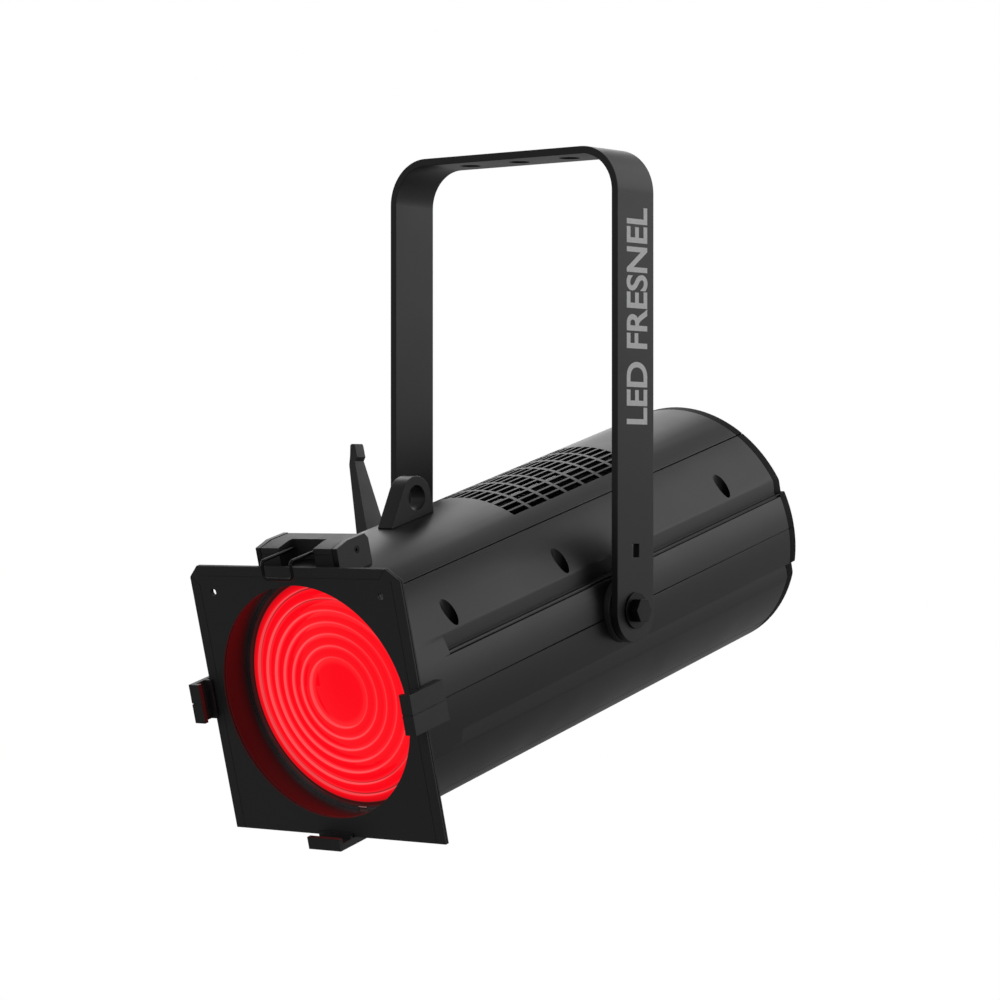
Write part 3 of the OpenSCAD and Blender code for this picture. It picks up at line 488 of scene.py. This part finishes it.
# %% Round the edges of the plain parts
edge_radii = {
    "yoke": 0.5, "frame_clip_right": 0.45, "frame_clip_left": 0.45, "frame_clip_bottom": 0.45,
    "latch_bracket": 0.6, "latch_block": 0.5, "safety_lug": 1.1, "clamp_lever": 0.8,
    "pivot_boss_right": 0.8, "pivot_boss_left": 0.8, "pivot_washer": 0.3, "rear_cap": 0.3,
    "clamp_stud": 0.3, "pivot_bolt": 0.4, "frame_leaf_front": 0.25, "frame_leaf_back": 0.25,
}
own_finish = {"rear_cap": rim_nylon}
for node, width_mm in edge_radii.items():
    eased(node, width_mm, finish=own_finish.get(node))
print("parts with rounded edges:", len(edge_radii))

# %% [markdown]
# ## Panel edges
# A seam reads as a dark gap beside a bright line, because each panel is folded or moulded with a soft
# edge. Only the long edges need it, and leaving the vent slots alone keeps the mesh light.

# %% Round the long edges of the panels
panel_radii = {"side_upper_right": 0.9, "side_upper_left": 0.9, "side_lower_right": 0.5,
               "side_lower_left": 0.5, "top_cover": 0.6, "bottom_cover": 0.6}
shortest_edge_mm = 30
for node, width_mm in panel_radii.items():
    eased(node, width_mm, shortest_mm=shortest_edge_mm)
print("panels with rounded edges:", len(panel_radii))

# %% [markdown]
# ## The lens
# The rings are turned, so the lens is a profile swept once round the axis. Each ring starts with a small
# rounded ridge and then bulges a little as it falls outwards, because a mould is cut with a round nosed
# tool. That bulge is what bends a reflection into the bright arcs that a flat ring never shows. One
# narrow low ring closes the pattern at the flange.

# %% Spin the lens


def spun(profile, steps=160):
    """A closed profile of (radius, height) swept once round the head's optical axis."""
    form = bmesh.new()
    line = [form.verts.new((radius, 0, height)) for radius, height in profile]
    edges = [form.edges.new(pair) for pair in zip(line, line[1:])]
    bmesh.ops.spin(form, geom=line + edges, axis=(0, 0, 1), cent=(0, 0, 0), steps=steps,
                   angle=2 * math.pi, use_merge=True)
    bmesh.ops.remove_doubles(form, verts=form.verts, dist=0.002 * mm)
    bmesh.ops.transform(form, matrix=head_place, verts=form.verts)
    return form


lens_radius = head_range("fresnel_lens", 0)[1]
flange = lens_back + 8 * mm
flange_corner = 0.6 * mm
first_ridge = flange + 4.8 * mm
ridge_step = 0.45 * mm
ring_bulge = 1.5 * mm
outer_ring = 5 * mm
profile = [(0, lens_back), (lens_radius, lens_back), (lens_radius, flange - flange_corner),
           (lens_radius - flange_corner, flange), (rings_end + outer_ring, flange),
           (rings_end + outer_ring, flange + 0.5 * mm),
           (rings_end + outer_ring / 2, flange + 1.6 * mm), (rings_end, flange + 1.9 * mm)]
for ring in reversed(range(ring_count)):
    ridge = first_ridge - ridge_step * ring
    fall = (1.6 + 0.25 * ring) * mm
    inner = eye_radius + ring * ring_width
    for share in (1.0, 0.85, 0.65, 0.45, 0.25, 0.1):
        bulge = ring_bulge * share * (1 - share)
        profile.append((inner + ring_width * share, ridge - fall * share + bulge))
    profile.append((inner + 0.25 * mm, ridge + 0.06 * mm))
    profile.append((inner, ridge - 0.2 * mm))
dome = 3.4 * mm
dome_edge = first_ridge - 2.2 * mm
for share in (1.0, 0.8, 0.6, 0.4, 0.2, 0.0):
    profile.append((eye_radius * share, dome_edge + dome * (1 - share ** 2)))
finish_piece("lens_rings", spun(profile), "head", lens_glass_painted_glow, ("fresnel_lens",),
             crease=28, weighted=False)

# %% [markdown]
# ## The name on the yoke
# The leg carries a pale line of screen printed ink. Ink is a fiftieth of a millimetre thick, so the
# letters are a text object made into a mesh and laid just proud of the coat. The words say what kind of
# light it is.

# %% Print the leg
ink = plain_finish("screen printed epoxy ink, pale grey", "#e2e2e2", "#ececec", 1.5, 0.45)


def printed_mesh(words, boldness):
    """Words as a flat mesh, one unit high, starting at the origin."""
    curve = bpy.data.curves.new(words, "FONT")
    curve.body = words
    curve.offset = boldness
    curve.resolution_u = 6
    holder = bpy.data.objects.new(words, curve)
    bpy.context.scene.collection.objects.link(holder)
    bpy.context.view_layer.update()
    mesh = bpy.data.meshes.new_from_object(holder.evaluated_get(bpy.context.evaluated_depsgraph_get()))
    bpy.data.objects.remove(holder)
    return mesh


leg_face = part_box("yoke")[1].x
word_length = 154 * mm
word_height = 25 * mm
letter_boldness = 0.022
word_start = Vector((leg_face, 1.5 * mm, -198 * mm))
form = bmesh.new()
form.from_mesh(printed_mesh("LED FRESNEL", letter_boldness))
xs = [vertex.co.x for vertex in form.verts]
ys = [vertex.co.y for vertex in form.verts]
fit = Matrix.Diagonal((word_length / (max(xs) - min(xs)), word_height / (max(ys) - min(ys)), 1, 1))
centre = Matrix.Translation((-min(xs), -(max(ys) + min(ys)) / 2, 0))
up_the_leg = Matrix(((0, 0, 1, 0), (0, -1, 0, 0), (1, 0, 0, 0), (0, 0, 0, 1)))
ink_height = 0.02 * mm
raised = bmesh.ops.extrude_face_region(form, geom=form.faces[:])
lifted = [part for part in raised["geom"] if isinstance(part, bmesh.types.BMVert)]
bmesh.ops.translate(form, verts=lifted, vec=(0, 0, 1))
thin = Matrix.Diagonal((1, 1, ink_height, 1))
bmesh.ops.transform(form, matrix=Matrix.Translation(word_start) @ up_the_leg @ thin @ fit @ centre,
                    verts=form.verts)
finish_piece("leg_print", form, "yoke", ink, weighted=False)

# %% [markdown]
# ## Studio
# The light is soft and plain. A pale room lights the object from behind and above, so every surface seen
# at a slant picks up a bright sheen, while the side that faces the camera sees a darker part of the room
# and stays nearly black. The room is a gradient on the world, and the camera sees it as plain white.

# %% Floor and backdrop
floor_drop = 0.25
floor_size = 30
floor_form = bmesh.new()
bmesh.ops.create_grid(floor_form, x_segments=1, y_segments=1, size=floor_size,
                      matrix=Matrix.Translation((0, 0, cad_box[0].z - floor_drop)))
floor_mesh = bpy.data.meshes.new("floor")
floor_form.to_mesh(floor_mesh)
floor_form.free()
floor = bpy.data.objects.new("floor", floor_mesh)
bpy.context.scene.collection.objects.link(floor)
floor_finish, tree = new_material("pale studio paper")
reach = add(tree, "SeparateXYZ", Vector=add(tree, "TexCoord").outputs["Object"])
depth = add(tree, "MapRange", {"From Min": -1.5, "From Max": 2.0}, Value=reach.outputs["Y"])
light = ramp(tree, depth.outputs["Result"], [(0.0, grey(0.12)), (0.35, grey(0.14)), (1.0, grey(0.4))])
paper = add(tree, "Emission", Color=light)
white = add(tree, "Emission", {"Color": grey(1.0)})
seen = add(tree, "MixShader", Fac=add(tree, "LightPath").outputs["Is Camera Ray"])
tree.links.new(paper.outputs["Emission"], seen.inputs[1])
tree.links.new(white.outputs["Emission"], seen.inputs[2])
add(tree, "OutputMaterial", Surface=seen.outputs["Shader"])
floor_mesh.materials.append(floor_finish)

# %% Room light
world = bpy.data.worlds.new("studio room")
bpy.context.scene.world = world
world.use_nodes = True
tree = world.node_tree
tree.nodes.clear()
direction = add(tree, "TexCoord").outputs["Generated"]
turned = add(tree, "Mapping", {"vector_type": "POINT", "Rotation": (0, 0, -camera_azimuth)}, Vector=direction)
parts = add(tree, "SeparateXYZ", Vector=turned.outputs["Vector"])
depth = add(tree, "MapRange", {"From Min": -1.0, "From Max": 1.0}, Value=parts.outputs["Y"])
wall = ramp(tree, depth.outputs["Result"], [
    (0.0, grey(0.36)), (0.4, grey(0.36)), (0.6, grey(0.55)), (0.8, grey(0.95)), (1.0, grey(1.9))])
height = add(tree, "MapRange", {"From Min": -1.0, "From Max": 1.0}, Value=parts.outputs["Z"])
lift = ramp(tree, height.outputs["Result"], [
    (0.0, grey(0.3)), (0.4, grey(0.4)), (0.5, grey(1.0)), (0.6, grey(1.0)), (0.75, grey(0.5)),
    (1.0, grey(0.4))])
room = add(tree, "Mix", {"data_type": "RGBA", "blend_type": "MULTIPLY", 0: 1.0})
tree.links.new(wall, room.inputs[6])
tree.links.new(lift, room.inputs[7])
soft = add(tree, "Background", Color=room.outputs[2])
white = add(tree, "Background", {"Color": grey(1.0)})
seen = add(tree, "MixShader", Fac=add(tree, "LightPath").outputs["Is Camera Ray"])
tree.links.new(soft.outputs["Background"], seen.inputs[1])
tree.links.new(white.outputs["Background"], seen.inputs[2])
add(tree, "OutputWorld", Surface=seen.outputs["Shader"])
bpy.context.scene.view_settings.view_transform = "Standard"

# %% Soft boxes


def soft_box(name, place, aim, size, watts):
    """A square area light at place, turned towards aim."""
    lamp = bpy.data.lights.new(name, "AREA")
    lamp.shape = "SQUARE"
    lamp.size = size
    lamp.energy = watts
    made = bpy.data.objects.new(name, lamp)
    bpy.context.scene.collection.objects.link(made)
    turn = (Vector(aim) - Vector(place)).to_track_quat("-Z", "Y")
    made.matrix_world = Matrix.Translation(place) @ turn.to_matrix().to_4x4()


middle = (cad_box[0] + cad_box[1]) / 2
soft_box("top box", (-0.65, 0.6, 0.8), middle, 0.9, 3)
soft_box("side box", (1.1, 1.35, 0.85), middle, 1.8, 9.5)
soft_box("front fill", (0.1, -2.6, 0.6), middle, 1.4, 3)
print("light powers:", [lamp.energy for lamp in bpy.data.lights], "W")
